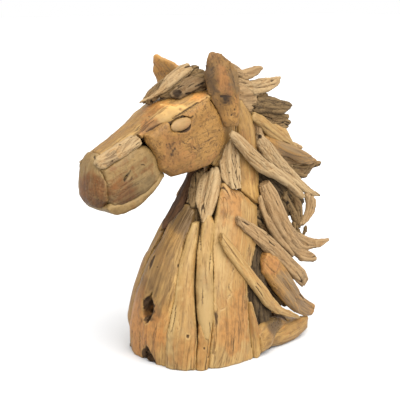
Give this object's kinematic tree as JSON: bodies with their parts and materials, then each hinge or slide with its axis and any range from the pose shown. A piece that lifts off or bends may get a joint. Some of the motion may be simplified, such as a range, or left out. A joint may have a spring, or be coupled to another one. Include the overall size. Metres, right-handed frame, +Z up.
{
  "type": "driftwood horse head sculpture",
  "caption": "Standing horse-head bust built from driftwood and teak-root slabs, with an open jagged mane, on a hollow flat-bottomed base",
  "frame": {"origin": "on the ground, under the middle of the whole object's bounding box", "axes": "+Z up; the horse faces -Y; its left side, with the fuller mane, is +X"},
  "size_m": [0.2516, 0.5734, 0.5922],
  "materials": {
    "honey_teak": "sanded, waxed teak root, honey brown, with long dark cracks",
    "golden_teak": "sanded, waxed teak root, golden, with straight grain",
    "burl_teak": "sanded, waxed burl, orange brown, with small pits and swirled grain",
    "muzzle_teak": "rubbed teak block, greyish brown with reddish patches",
    "pale_driftwood": "raw, pale, weathered wood with ridged grain",
    "grey_driftwood": "raw, grey-tan weathered wood with deep ridges",
    "dark_root": "rough, dark, weathered root",
    "red_brown_wood": "raw dark red-brown wood",
    "pale_eye_inlay": "smooth pale wood inlay"
  },
  "bodies": {
    "root": {"back_slab": "honey_teak", "centre_slat": "golden_teak", "cheek_left": "burl_teak", "cheek_right": "burl_teak", "cheek_slat": "pale_driftwood", "chest_edge": "honey_teak", "chest_front": "honey_teak", "crest": "grey_driftwood", "ear_left": "burl_teak", "ear_right": "burl_teak", "eye_left": "pale_eye_inlay", "eye_right": "pale_eye_inlay", "flank_left": "golden_teak", "flank_right": "golden_teak", "foot_strip": "honey_teak", "forelock_cross": "grey_driftwood", "forelock_dark": "dark_root", "forelock_knob": "dark_root", "forelock_long": "pale_driftwood", "lock_facet": "golden_teak", "lock_grey": "grey_driftwood", "lock_hook": "grey_driftwood", "lock_jagged": "dark_root", "lock_leaf": "grey_driftwood", "lock_long": "pale_driftwood", "lock_lumpy": "dark_root", "lock_polished": "burl_teak", "lock_right_long": "pale_driftwood", "lock_right_low": "golden_teak", "lock_right_sweep": "grey_driftwood", "lock_right_top": "pale_driftwood", "lock_right_upper": "grey_driftwood", "lock_right_wing": "burl_teak", "lock_second": "pale_driftwood", "lock_slat": "golden_teak", "lock_split": "pale_driftwood", "lock_strip": "grey_driftwood", "lock_sweep": "grey_driftwood", "lock_under_wing": "dark_root", "lock_wing": "burl_teak", "lower_lip": "muzzle_teak", "neck_panel_left": "honey_teak", "neck_panel_right": "honey_teak", "nose_bridge": "honey_teak", "nose_strip_left": "pale_driftwood", "nose_strip_right": "pale_driftwood", "nose_tip": "muzzle_teak", "poll_block": "grey_driftwood", "rear_inner_left": "dark_root", "rear_right": "honey_teak", "rear_wedge_left": "honey_teak", "root_foot": "honey_teak", "shoulder_front": "golden_teak", "shoulder_right": "honey_teak", "throat_dark": "dark_root", "throat_far": "red_brown_wood", "throat_right": "grey_driftwood", "throat_slat": "pale_driftwood", "upper_lip_left": "muzzle_teak", "upper_lip_right": "muzzle_teak"}
  },
  "joints": []
}
